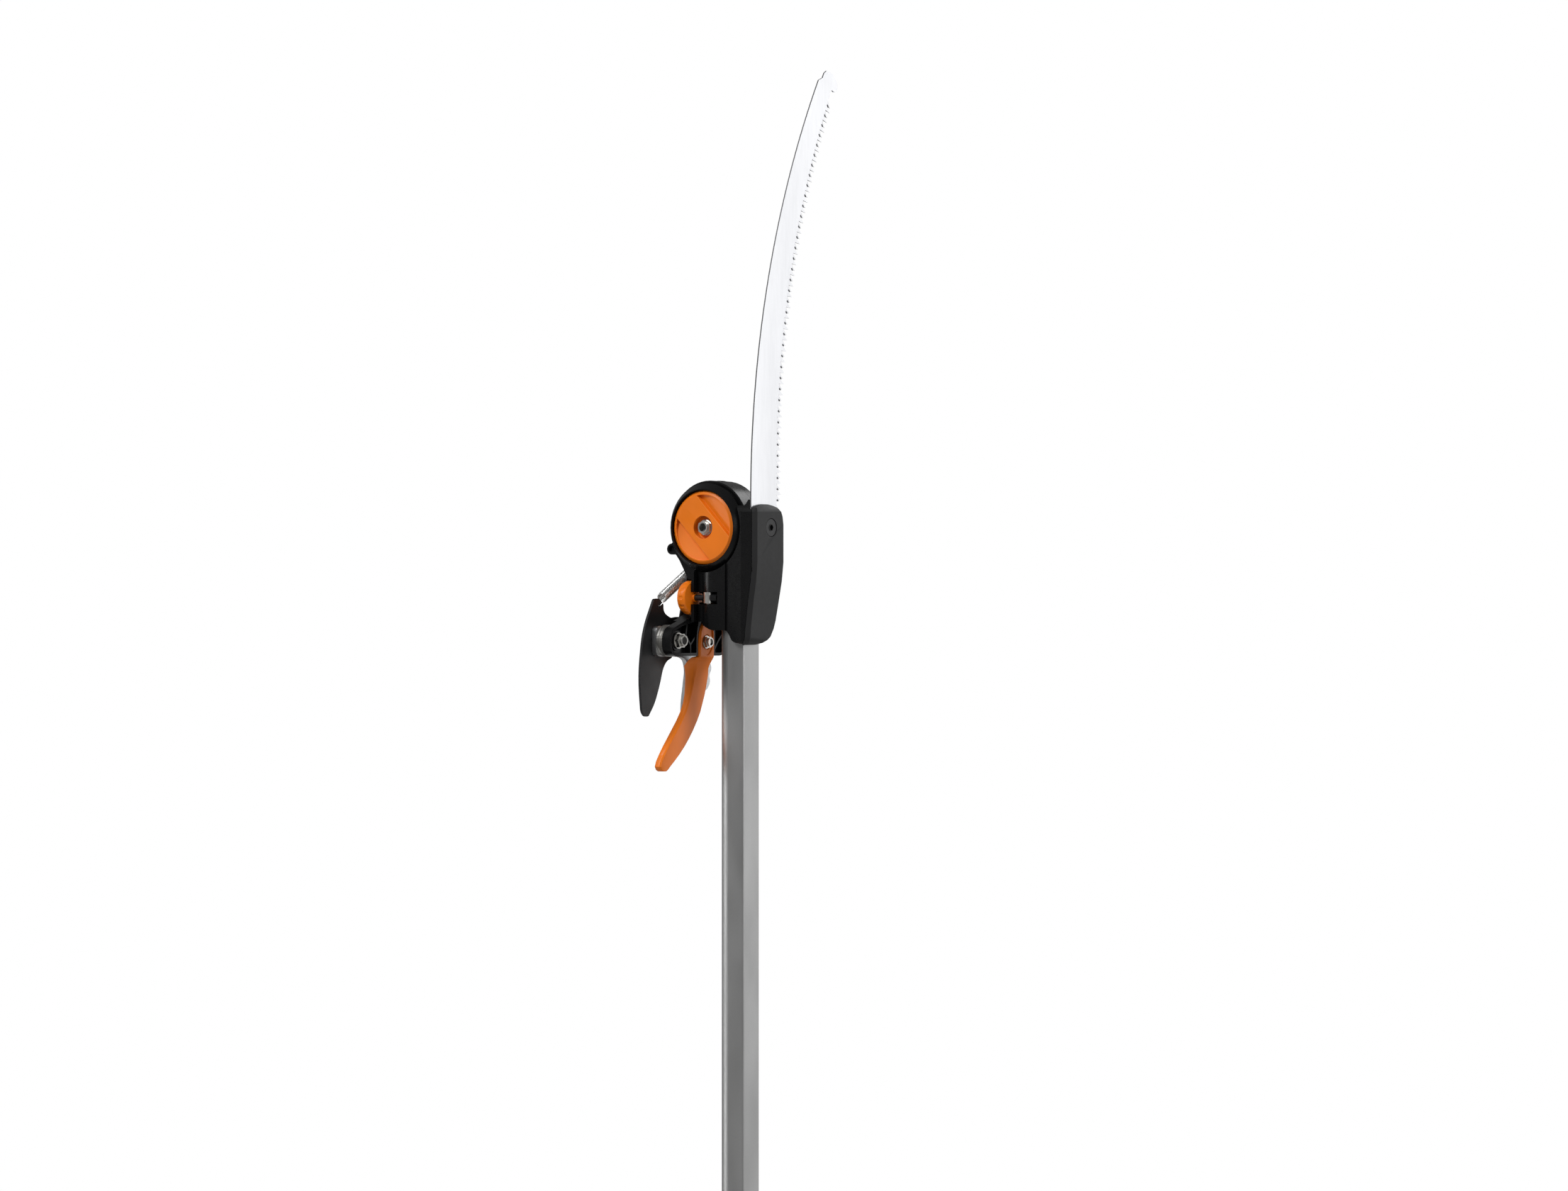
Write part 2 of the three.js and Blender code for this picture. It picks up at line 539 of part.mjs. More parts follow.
// two cheeks that straddle the neck's hub, joined by the arm
const frontCheek = turned("Y", axisAt, [
  [3.3, FRONT_CHEEK.back], [FRONT_CHEEK.step, FRONT_CHEEK.back], [FRONT_CHEEK.step, FRONT_CHEEK.cone],
  [FRONT_CHEEK.radius, FRONT_CHEEK.cone], [FRONT_CHEEK.rim, FRONT_CHEEK.face],
  [KNOB.radius + 0.5, FRONT_CHEEK.face],
  [KNOB.radius + 0.5, KNOB.back + TOUCH_GAP], [3.3, KNOB.back + TOUCH_GAP],
], 48);
const rearCheek = turned("Y", axisAt, [
  [3.3, REAR_CHEEK.front], [REAR_CHEEK.radius, REAR_CHEEK.front], [REAR_CHEEK.radius, REAR_CHEEK.back - 4],
  [REAR_CHEEK.radius - 5, REAR_CHEEK.back], [3.3, REAR_CHEEK.back],
], 48);
const EAR = { x: -53.5, z: -15.9, radius: 4.1, hole: 2.5, floor: -8.4, y: [-10.5, FRONT_CHEEK.back] };
const web = plateY([
  [-53.5, -11.8], [-44, -4], [-31, -26], [-33, -38.5], [-38.1, -38.5], [-40.7, -34], [-43.6, -28.8],
  [-46.4, -24], [-49.6, -20], [-53.5, -20],
], EAR.y);
const ear = rod("Y", [EAR.x, 0, EAR.z], EAR.radius, EAR.y);
const arm = bar([
  [-16, -51.8, -28, -8, 17], [-20, -51.8, -28, -8, 17], [-24, -48.6, -29, -8, 17],
  [-28.8, -45.8, -30.5, -8, 17],
  [-34, -45.4, -32.5, -3.8, 17], [-38.5, -45.4, -33.3, 0, 17], [-46, -45.4, -33.8, 4, 17],
  [-58, -44.9, -33.8, 4, 22], [-70, -44.7, -33.8, 4, 27],
], 2);
const SPRING_POST = { y: 15, z: -31.6 };
const springLug = join(
  plate("X", outline([[10, -48], [11, -30, 3], [19, -28, 3], [19, -36, 4], [16, -48]]), [-47, -43.4]),
  rod("X", [0, SPRING_POST.y, SPRING_POST.z], 1.8, [-57, -44], 12),
);

const frameOutline = [
  [-39.6, -95.4, 14], [31, -95.4, 8], [31, -72, 7], [26, -58, 5], [4, -60.4, 3],
  [-24.6, -70.9, 8], [-39.6, -76, 12],
];
const frameBody = plate("X", outline(frameOutline), FRAME_X, 8);
const HOOK_SEAT = [
  [-4.2, -97], [-4.2, -80, 4], [-1, -72, 4], [3, -66], [12, -66], [16.2, -76, 4], [16.2, -97],
];
const POCKET_FLOOR = -39.4;
const SPACER = { outer: 11.8, groove: 11.2, from: -48.3, to: -41.6 };
const pocketSpan = [POCKET_FLOOR, FRAME_X[1] + 1];
const pockets = [
  [[-37.6, -93.2, 14], [-5.9, -93.2, 1], [-5.9, -81, 4], [-3, -69, 2], [-24.4, -73.2, 6], [-37.6, -78, 12]],
  [[17.8, -93.2, 1], [28.8, -93.2, 5], [28.8, -72, 4], [24.6, -61.5, 3], [14.6, -63.5, 1], [17.8, -75, 3]],
].map((corners) => plate("X", outline(corners), pocketSpan, 5));
// stiffening ribs on the pocket floors, each [y0, z0, y1, z1]
const RIB = { thick: 1.3, top: -34.9 };
const ribs = [
  [-12, -87, -12, -95], [-12, -87, -18, -80], [-12, -87, -4, -79.5], [-18, -80, -16, -70],
  [23, -85, 30, -78], [23, -85, 16, -94], [16, -76, 30, -68],
].map(([y0, z0, y1, z1]) => {
  const length = Math.hypot(y1 - y0, z1 - z0);
  const geometry = new THREE.BoxGeometry(RIB.top - POCKET_FLOOR + 1, length, RIB.thick);
  geometry.rotateX(Math.atan2(z1 - z0, y1 - y0));
  return solid(geometry.translate((RIB.top + POCKET_FLOOR - 1) / 2, (y0 + y1) / 2, (z0 + z1) / 2));
});
const nutBoss = rod("X", [0, PIVOT.y, PIVOT.z], 7.6, [POCKET_FLOOR - 1, -37.4], 28);
const nutWell = rod("X", [0, PIVOT.y, PIVOT.z], 7.6, [-37.4, FRAME_X[1] + 1], 28);
const frame = join(cut(frameBody, ...pockets), cut(join(...ribs).intersect(frameBody), nutWell), nutBoss);
const pivotHole = (radius) => rod("X", [0, PIVOT.y, PIVOT.z], radius, [-60, -30]);
const hookHole = (radius) => rod("X", [0, HOOK_BOLT.y, HOOK_BOLT.z], radius, [-60, -25]);
const spacerRoom = rod("X", [0, PIVOT.y, PIVOT.z], 15.5, [-60, SPACER.to + TOUCH_GAP], 36);
const swingArm = cut(
  join(frontCheek, rearCheek, web, ear, arm, springLug, cut(frame, spacerRoom)),
  strapRoom,
  plate("X", outline(HOOK_SEAT), [-36.8, FRAME_X[1] + 1]),
  drumRoom(DRUM.radius + 0.5, [-DRUM.half - 0.35, REAR_CHEEK.front]),
  rod("Y", axisAt, KNOB.radius + 0.5, [-30, KNOB.back + TOUCH_GAP], 48),
  rod("Y", axisAt, 3.3, [-30, 30]),
  rod("Y", [EAR.x, 0, EAR.z], EAR.hole, [-20, EAR.floor], 16),
  pivotHole(3.15),
  hookHole(2.65),
);
node(head, "swing_arm", swingArm, blackPlastic);

// ---------------------------------------------------------------- cutting head

const bladeOutline = [
  [-33.6, -53, 1.5], [-27.5, -52.6, 2], [-22, -57, 1.5], [-22, -61.3, 2], [-19.6, -64.3, 2],
  [-12.1, -67.5, 3],
  [-4, -66.2, 4], [4.6, -67, 4], [4.6, -76, 4], [-8, -90, 6], [-10.2, -96.8, 4], [-17.6, -98.9, 4],
  [-22.5, -104.6, 4], [-26.2, -115.9, 8], [-32.9, -130.7, 8], [-41, -140.2, 1], [-45.2, -140.4, 2],
  [-48.9, -137, 4], [-52, -110.3, 14], [-47.7, -82.1, 12], [-43.7, -70.8, 8],
];
const SPRING_HOLE = { y: -27.1, z: -58.4 };
const cuttingBlade = cut(
  plate("X", outline(bladeOutline), BLADE_X, 4),
  pivotHole(3.1),
  rod("X", [0, SPRING_HOLE.y, SPRING_HOLE.z], 1.4, [-60, -50], 12),
  rod("X", [0, STRAP_PIN.y, STRAP_PIN.z], 1.6, [-60, -50], 12),
);
node(head, "cutting_blade", cuttingBlade, blackSteel);
const strapPin = join(
  rod("X", [0, STRAP_PIN.y, STRAP_PIN.z], 1.45, [-56, -48.9], 12),
  rod("X", [0, STRAP_PIN.y, STRAP_PIN.z], 2.6, [-56, -54.8], 12),
);
node(head, "strap_pin", strapPin, steel);

const hookPlateOutline = [
  [-37.1, -84, 8], [-37.1, -72.2, 11], [-8, -76.4, 4], [10, -75, 6], [17, -84, 5], [20, -98, 4],
  [33, -101.5, 2.5], [34, -106, 2.5], [30.5, -110, 3], [32.5, -115, 3], [28.5, -120.5, 3], [24, -122.5, 2],
  [13, -133, 4], [2, -146, 1], [-1.4, -146, 1], [-0.8, -131.3, 4], [1.7, -117.3, 4], [4, -106.4, 4],
  [1.5, -98.6, 4], [-4.3, -96.2, 4], [-25.3, -95.8, 3], [-37.1, -95.8, 11],
];
const hookPlateBody = plate("X", outline(hookPlateOutline), HOOK_PLATE_X, 4);
const hookPlate = cut(hookPlateBody, pivotHole(3.15), hookHole(2.65));
const strapNotch = box([-60, -40], [-STRAP.half - 1, STRAP.half + 1], [-75.6, -60]);
node(head, "hook_plate", cut(hookPlate, strapNotch), steel);

// two shallow grooves make the spacer look like a stack of three rings
const spacerRings = [1 / 3, 2 / 3].flatMap((part) => {
  const middle = SPACER.from + (SPACER.to - SPACER.from) * part;
  return [[SPACER.outer, middle - 0.3], [SPACER.groove, middle - 0.2], [SPACER.groove, middle + 0.2],
    [SPACER.outer, middle + 0.3]];
});
const spacer = turned("X", [0, PIVOT.y, PIVOT.z], [
  [3.2, SPACER.from], [SPACER.outer, SPACER.from], ...spacerRings,
  [SPACER.outer, SPACER.to], [3.2, SPACER.to],
], 40);
node(head, "spacer_washer", spacer, steel);

// the long orange grip of the hook, from inside the frame to its tip
const COVER_OUT = -48.2;
const COVER_FACE = -42.4;
const coverRun = [
  [-105, -37.2, -2.2, 15.1], [-110, -38.9, -1.6, 17.1], [-118, -40.6, -2, 17.2], [-124.4, -41.6, -2.6, 16.5],
  [-130.7, -42.2, -4.6, 14.7], [-137, COVER_FACE, -7.9, 12.2], [-144, COVER_FACE, -13.3, 7.9],
  [-151, COVER_FACE, -19.5, 2.7], [-157, COVER_FACE, -25, -2.4], [-163, COVER_FACE, -30.5, -8.2],
  [-169, COVER_FACE, -35.4, -15], [-173.6, COVER_FACE, -38.7, -20.9], [-177.5, COVER_FACE, -40.3, -26.2],
  [-180, COVER_FACE, -38.6, -29.3], [-181, COVER_FACE, -36, -31.5],
];
const hookCover = bar([
  [-69.5, -36.5, -32.3, 3.5, 9.5], [-73, -36.5, -32.3, -0.5, 13], [-78, -36.5, -32.3, -2.9, 15.3],
  [-85, -36.5, -32.3, -3.4, 15.4], [-95.7, -36.5, -32.6, -3.8, 15.7], [-96.5, -39, -32.9, -6.2, 15.8],
  [-98.5, -42.5, -34, -5.4, 15.6], [-101, -46, -35.5, -3.9, 15.3], [-103, COVER_OUT, -36.4, -3, 15.1],
  ...coverRun.map(([z, face, left, right]) => [z, COVER_OUT, face, left, right]),
], 1.1);
const coverDish = plate("X", outline([
  [6, -69.5, 4], [13.6, -75, 8], [13, -91, 8], [5.5, -96.4, 6], [-1.2, -93, 8], [-0.4, -77, 8],
]), [-33.3, -25], 4);
const nutSeat = rod("X", [0, HOOK_BOLT.y, HOOK_BOLT.z], 5.6, [-34.6, -30], 24);
node(head, "hook_cover", cut(hookCover, coverDish, hookHole(2.65), nutSeat), orangePlastic);

const boltX = ({ y, z }, radius, [tip, seat], headRadius, headEnd) =>
  join(rod("X", [0, y, z], radius, [seat - 1, tip]), rod("X", [0, y, z], headRadius, [headEnd, seat]));
node(head, "pivot_bolt", boltX(PIVOT, 3, [-32.4, BLADE_X[0] - TOUCH_GAP], 8, -58.4), steel);
node(head, "pivot_nut", lockNut("X", [PIVOT.y, PIVOT.z], 3.1, 10, [-37.1, -30.8]), steel);
node(head, "hook_bolt", boltX(HOOK_BOLT, 2.5, [-30.6, HOOK_PLATE_X[0] - 0.1], 4.4, -54.4), steel);
node(head, "hook_nut", lockNut("X", [HOOK_BOLT.y, HOOK_BOLT.z], 2.6, 8, [-34.3, -29.4]), steel);

// return spring: drawn as a plain sleeve of its real outer and inner diameter, with its two end hooks
const SPRING = { outer: 4, inner: 3.1, x: -53.5, low: [-23.2, -52.4], high: [10.6, -34] };
const springRise = Math.atan2(SPRING.high[1] - SPRING.low[1], SPRING.high[0] - SPRING.low[0]);
const springLength = Math.hypot(SPRING.high[0] - SPRING.low[0], SPRING.high[1] - SPRING.low[1]);
function alongSpring(profile, sides) {
  const points = [...profile, profile[0]].map(([r, h]) => new THREE.Vector2(r, h));
  const geometry = new THREE.LatheGeometry(points, sides);
  geometry.rotateX(springRise);
  return solid(geometry.translate(SPRING.x, SPRING.low[0], SPRING.low[1]));
}
const wire = (points) => {
  const shape = circle(0, 0, 0.6);
  const path = new THREE.CatmullRomCurve3(points.map((p) => new THREE.Vector3(...p)));
  return solid(new THREE.ExtrudeGeometry(shape, { steps: 8, extrudePath: path, curveSegments: 3 }));
};
const coil = alongSpring([
  [SPRING.inner, 0], [SPRING.outer, 0], [SPRING.outer, springLength], [SPRING.inner, springLength],
], 20);
const lowHook = wire([
  [SPRING.x + 1.9, SPRING.low[0] + 1.9, SPRING.low[1] - 2.4], [SPRING.x + 1.9, -24.2, -56.4],
  [SPRING.x + 1.9, -26.9, -58.1], [SPRING.x, -27.1, -58.5], [SPRING.x - 1.9, -27.1, -58.2],
]);
const highHook = wire([
  [SPRING.x, SPRING.high[0] - 2, SPRING.high[1] + 2.6], [SPRING.x, 13.6, -29.4],
  [SPRING.x, SPRING_POST.y + 2.6, -30], [SPRING.x, SPRING_POST.y + 1.8, -33.6],
]);
node(head, "return_spring", join(coil, lowHook, highHook), steel);

// ---------------------------------------------------------------- saw holder

// [z, front y, rear y, outer face x] of the saw holder and its cover
const HOLDER_BEVEL = 3;
const COVER_LEVELS = [
  [-87, -13, 3, 15.6], [-85.6, -14.6, 9.5, 17.6], [-83.6, -15.1, 13.6, 19], [-81, -15.1, 16.9, 19.6],
  [-75, -15.1, 20.4, 20], [-69, -15.1, 21.9, 20.7], [-54, -15.1, 23.4, 22.6], [-40, -15.1, 24, 24.8],
  [-26, -15.1, 24.4, 26], [2, -15.1, 24.4, 26], [8, -15.1, 23.3, 26], [11.5, -15.1, 21.6, 26],
  [14.5, -14.6, 18, 25.2], [16, -10.6, 12.4, 24.5], [17, -4, 6, 24],
];
const PARTING = 0.3;
const coverLoops = (inner) =>
  COVER_LEVELS.map(([z, y0, y1, x]) => {
    const b = Math.min(HOLDER_BEVEL, (y1 - y0) / 3);
    const parting = z > 2 ? 26 - HOLDER_BEVEL : x - HOLDER_BEVEL;
    const back = inner ? -60 : parting;
    const face = inner ? parting - PARTING : x;
    return inner
      ? [[back, y0, z], [face, y0, z], [face, y1, z], [back, y1, z]]
      : [[back, y0, z], [face, y0 + b, z], [face, y1 - b, z], [back, y1, z]];
  });
const screwAxis = (radius, span, sides = BOLT_SIDES) =>
  rod("X", [0, SAW_SCREW.y, SAW_SCREW.z], radius, span, sides);
const sawCover = cut(
  loft(coverLoops(false)),
  screwAxis(3.2, [0, 40]),
  screwAxis(6.9, [24.2, 40]),
  box([0, SAW_X[1] + TOUCH_GAP + 0.35], [-30, 30], [-120, 40]).intersect(
    plate("X", outline([[-14.9, -33], [-14.9, 60], [23.4, 60], [23.4, -33]]), [0, 40])),
);
node(head, "saw_cover", sawCover, blackPlastic);

const holderProfile = [
  [-1.6, -76.3], [1.4, -79, 3], [4, -84, 3], [7.5, -85.5, 4], [16.5, -87], [23, -87], [23, 14.5, 2],
  [19, 20.5, 5], [3, 20.5, 2], [-1.6, 10],
];
const holderTop = [[14.4, -14, 19], [17.5, -11, 15], [20.6, -8, 13]].map(([z, y0, y1]) =>
  [[-60, y0, z], [22.7, y0, z], [22.7, y1, z], [-60, y1, z]],
);
const holderBlock = plateY(holderProfile, [-15.1, 24.6]).intersect(
  loft([...coverLoops(true).slice(0, -3), ...holderTop]),
);
const frontStep = plate("Z", outline([[-1.4, -16], [-1.4, -13.9], [13, -15.1], [13, -16]]), [-100, 30]);
const rearCorner = box([-40, 9.5], [15.1, 40], [-120, 40]);
const sleeveProfile = [[-34, -70], [-27, -71], [-14, -76.3, 3], [6, -76.3], [6, -8], [-34, -8]];
const behindCover = loft(coverLoops(true));
const sleeveBody = plate("Z", neckShape(SLEEVE), [-90, 0], 12).intersect(behindCover).intersect(
  join(plateY(sleeveProfile, [-40, 40]), box([6, 20], [-30, 30], [-84, -20])),
);
const LUG_X = [-31.8, -29.4];
const lugs = [[-48.9, -32.4], [-70, -55.5]].map((span) =>
  join(box(LUG_X, [-15.6, -4.5], span), box([LUG_X[0], -24], [-10.4, -4.5], span)),
);
const sawHolder = cut(
  cut(join(cut(holderBlock, rearCorner), sleeveBody, ...lugs), frontStep),
  plate("Z", neckShape(TOUCH_GAP), [-100, 40], 12),
  drumRoom(32, [-40, FRONT_CHEEK.cone - 0.4]),
  drumRoom(33.5, [-20, -7.4]),
  drumRoom(DRUM.radius + 0.5, [-7.7, 60]),
  box([-34, -8.6], [-40, -5], [-57, -47.9]),
  plate("X", outline([[-14.4, -32], [-14.4, 60], [22.8, 60], [22.8, -32]]), [SAW_X[0] - 0.35, 60]),
  screwAxis(2.9, [0, 40]),
  rod("Z", [CLAMP.x, CLAMP.y, 0], CLAMP.pin + 0.15, [-64.5, -41], 16),
);
node(head, "saw_holder", sawHolder, blackPlastic);
const socket = plate("X", hexagon(SAW_SCREW.y, SAW_SCREW.z, 4.2), [23.4, 30]);
const coverScrew = join(screwAxis(2.7, [14.8, 26]), screwAxis(6.4, [24.4, 25.7], 32));
node(head, "cover_screw", cut(coverScrew, socket), blackSteel);

const clampAt = [CLAMP.x, CLAMP.y, 0];
const clampPin = join(
  rod("Z", clampAt, CLAMP.pin, [-64, -41.5], 16),
  rod("Z", clampAt, CLAMP.barrel, [CLAMP.z - 4.1, CLAMP.z + 4.1], 24),
);
node(head, "clamp_pin", clampPin, steel);
const swingBolt = rod("X", [0, CLAMP.y, CLAMP.z], 2.1, [-38.6, CLAMP.x - CLAMP.barrel - 0.15], 16);
node(head, "swing_bolt", swingBolt, blackSteel);
const RIDGES = 9;
const ridgedEnd = (x0, x1) => {
  const profile = [[0, x0]];
  for (let i = 0; i < RIDGES; i++) {
    const x = x0 + ((x1 - x0) * i) / (RIDGES - 1);
    profile.push([i % 2 ? 2.8 : 3.4, x]);
  }
  profile.push([0, x1]);
  return turned("X", [0, CLAMP.y, CLAMP.z], profile, 16);
};
node(head, "swing_bolt_end", ridgedEnd(-15, -9.6), blackSteel);
const clampKnob = turned("X", [0, CLAMP.y, CLAMP.z], [
  [2.3, -38.9], [0, -38.9], [0, -40.4], [8.6, -40.4], [11.6, -39.2], [12.7, -37], [12.7, -34.4],
  [11.4, -32.4],
  [3.1, -32.2], [3.1, -30.2], [2.3, -30.2],
], 32);
const GROOVES = 12;
const knobGrooves = [];
for (let i = 0; i < GROOVES; i++) {
  const angle = (2 * Math.PI * i) / GROOVES;
  const y = CLAMP.y + 14.2 * Math.cos(angle);
  const z = CLAMP.z + 14.2 * Math.sin(angle);
  knobGrooves.push(rod("X", [0, y, z], 2.2, [-45, -33.4], 10));
}
node(head, "clamp_knob", cut(clampKnob, ...knobGrooves), orangePlastic);

// ---------------------------------------------------------------- saw blade

const SPINE = { y: 595.6, z: 20, radius: 610 }; // arc of the blade's back
const GULLETS = { y: 622.1, z: 43, radius: 604 }; // arc through the bottoms of the teeth
const TOOTH = { pitch: 4.15, depth: 5, first: 20, last: 322 };
const arcY = (arc, z) => arc.y - Math.sqrt(arc.radius ** 2 - (z - arc.z) ** 2);
const sawPoints = [[-14, -30], [22.3, -30], [22.3, 8], [18.4, 17]];
for (let z = TOOTH.first; z < TOOTH.last; ) {
  const slope = (z - GULLETS.z) / GULLETS.radius;
  const rise = TOOTH.pitch * Math.sqrt(1 - slope ** 2);
  const y = arcY(GULLETS, z);
  sawPoints.push([y, z], [y + TOOTH.depth * Math.sqrt(1 - slope ** 2), z - TOOTH.depth * slope + 0.5]);
  z += rise;
}
const TIP = [
  [86.5, 322], [91, 326.6], [95.6, 326.4, 2], [98.3, 331, 3], [95, 338, 4], [88.5, 342.6, 4],
  [80.8, 343, 4],
];
sawPoints.push(...TIP);
const SPINE_STEPS = 14;
for (let i = 0; i < SPINE_STEPS; i++) {
  const z = 335 - ((335 - SPINE.z) * i) / (SPINE_STEPS - 1);
  sawPoints.push([arcY(SPINE, z), z]);
}
const sawBlade = cut(plate("X", outline(sawPoints), SAW_X, 3), screwAxis(3.1, [0, 40]));
node(head, "saw_blade", sawBlade, steel);

export default pole;
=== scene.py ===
"""Telescoping pole saw: looks, camera and light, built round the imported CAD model. Metres, +Z up the pole."""

import json
import math

import bmesh
import bpy
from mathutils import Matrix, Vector


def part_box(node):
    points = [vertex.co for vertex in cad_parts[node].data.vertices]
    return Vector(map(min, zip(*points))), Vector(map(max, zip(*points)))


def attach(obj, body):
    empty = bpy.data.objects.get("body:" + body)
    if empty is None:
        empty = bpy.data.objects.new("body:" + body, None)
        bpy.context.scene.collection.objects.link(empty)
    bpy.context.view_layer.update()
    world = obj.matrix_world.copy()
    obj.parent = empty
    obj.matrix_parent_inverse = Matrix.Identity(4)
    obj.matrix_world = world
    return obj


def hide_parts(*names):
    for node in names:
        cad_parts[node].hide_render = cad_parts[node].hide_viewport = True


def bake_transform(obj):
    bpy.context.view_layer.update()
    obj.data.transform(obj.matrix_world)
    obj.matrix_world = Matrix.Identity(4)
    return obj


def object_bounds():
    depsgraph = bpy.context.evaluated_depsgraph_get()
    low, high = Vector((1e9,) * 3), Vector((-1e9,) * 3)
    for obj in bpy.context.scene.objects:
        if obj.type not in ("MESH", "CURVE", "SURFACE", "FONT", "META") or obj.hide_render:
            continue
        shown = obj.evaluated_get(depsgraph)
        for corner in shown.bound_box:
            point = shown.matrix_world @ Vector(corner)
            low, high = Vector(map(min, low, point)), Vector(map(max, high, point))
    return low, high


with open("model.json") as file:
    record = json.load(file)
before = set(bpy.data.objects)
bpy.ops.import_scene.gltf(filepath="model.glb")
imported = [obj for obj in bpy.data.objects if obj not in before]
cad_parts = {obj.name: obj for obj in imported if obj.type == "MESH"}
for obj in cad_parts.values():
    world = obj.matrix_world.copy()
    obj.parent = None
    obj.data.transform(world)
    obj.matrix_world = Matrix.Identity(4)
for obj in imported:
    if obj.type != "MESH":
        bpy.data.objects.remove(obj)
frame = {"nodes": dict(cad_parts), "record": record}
CAD_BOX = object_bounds()

MM = 0.001
WHITE = (1.0, 1.0, 1.0)


def middle(node):
    low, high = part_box(node)
    return (Vector(low) + Vector(high)) / 2


TILT_Z = middle("tilt_knob").z  # height of the head's tilt axis


# ---------------------------------------------------------------- camera and light

VIEW_AZIMUTH = math.radians(35)
TO_CAMERA = Vector((math.sin(VIEW_AZIMUTH), -math.cos(VIEW_AZIMUTH), 0))
TARGET = Vector((27.8 * MM, 19.5 * MM, TILT_Z - 50.5 * MM))
CAMERA_DISTANCE = 6.0
CAMERA_REACH = 50
SENSOR = 36.0  # in mm, as the lens is
FRAME_WIDTH = 1163.6 * MM  # width of the picture at the pole

AMBIENT = 0.22
BACKDROP = 1.0  # what the camera itself sees of the world
LIGHTS = {  # place from the target, width, height and watts
    "key": ((-0.45, -1.9, 1.9), 1.0, 1.0, 52),
    "fill": ((2.5, -0.2, 0.5), 1.2, 1.2, 26),
    "blade_glow": ((1.5, 2.2, 0.2), 2.2, 2.2, 15),
    "rim": ((0.3, 2.1, 1.5), 1.2, 1.2, 18),
    "left_strip": ((-2.4, -1.2, 0.0), 0.5, 2.4, 17),
}

FLOOR_COLOUR = (0.86, 0.86, 0.85)
FLOOR_GLOW = 0.5
FLOOR_REACH = 12
FLOOR_GAP = 0.5 * MM


def add_camera():
    data = bpy.data.cameras.new("camera")
    data.sensor_width = SENSOR
    data.lens = SENSOR * CAMERA_DISTANCE / FRAME_WIDTH
    data.clip_end = CAMERA_REACH
    camera = bpy.data.objects.new("camera", data)
    camera.location = TARGET + TO_CAMERA * CAMERA_DISTANCE
    camera.rotation_euler = TO_CAMERA.to_track_quat("Z", "Y").to_euler()
    bpy.context.collection.objects.link(camera)
    bpy.context.scene.camera = camera


def add_light(name, offset, width, height, power):
    data = bpy.data.lights.new(name, "AREA")
    data.shape = "RECTANGLE"
    data.size = width
    data.size_y = height
    data.energy = power
    light = bpy.data.objects.new(name, data)
    light.location = TARGET + Vector(offset)
    light.rotation_euler = Vector(offset).to_track_quat("Z", "Y").to_euler()
    bpy.context.collection.objects.link(light)


def floor_material():
    """Pale and matt, with a glow that only the camera sees, so that it stays pale far from the lights."""
    surface = Surface("floor", FLOOR_COLOUR, 0.8)
    glow = surface.tree.nodes.new("ShaderNodeMath")
    glow.operation = "MULTIPLY"
    glow.inputs[1].default_value = FLOOR_GLOW
    surface.link(surface.tree.nodes.new("ShaderNodeLightPath").outputs["Is Camera Ray"], glow.inputs[0])
    surface.link(glow.outputs[0], surface.shader.inputs["Emission Strength"])
    surface.shader.inputs["Emission Color"].default_value = (*WHITE, 1)
    return surface.bump(surface.noise(60), 0.05, 0.2 * MM).material


def add_world():
    """Soft light from all round, and a white backdrop that only the camera sees."""
    world = bpy.data.worlds.new("studio")
    world.use_nodes = True
    tree = world.node_tree
    ambient = tree.nodes["Background"]
    backdrop = tree.nodes.new("ShaderNodeBackground")
    for background, strength in ((ambient, AMBIENT), (backdrop, BACKDROP)):
        background.inputs["Color"].default_value = (*WHITE, 1)
        background.inputs["Strength"].default_value = strength
    mix = tree.nodes.new("ShaderNodeMixShader")
    seen = tree.nodes.new("ShaderNodeLightPath")
    tree.links.new(seen.outputs["Is Camera Ray"], mix.inputs["Fac"])
    tree.links.new(ambient.outputs[0], mix.inputs[1])
    tree.links.new(backdrop.outputs[0], mix.inputs[2])
    tree.links.new(mix.outputs[0], tree.nodes["World Output"].inputs["Surface"])
    bpy.context.scene.world = world
    bpy.context.scene.view_settings.view_transform = "Standard"


def add_floor():
    mesh = bpy.data.meshes.new("floor")
    signs = [(-1, -1), (1, -1), (1, 1), (-1, 1)]
    corners = [(x * FLOOR_REACH, y * FLOOR_REACH, 0) for x, y in signs]
    mesh.from_pydata(corners, [], [(0, 1, 2, 3)])
    floor = bpy.data.objects.new("floor", mesh)
    floor.location.z = CAD_BOX[0][2] - FLOOR_GAP
    bpy.context.collection.objects.link(floor)
    mesh.materials.append(floor_material())


def add_studio():
    add_world()
    for name, (offset, width, height, power) in LIGHTS.items():
        add_light(name, offset, width, height, power)
    add_floor()


# ---------------------------------------------------------------- materials

EVEN = (1, 1, 1)
UNTURNED = (0, 0, 0)


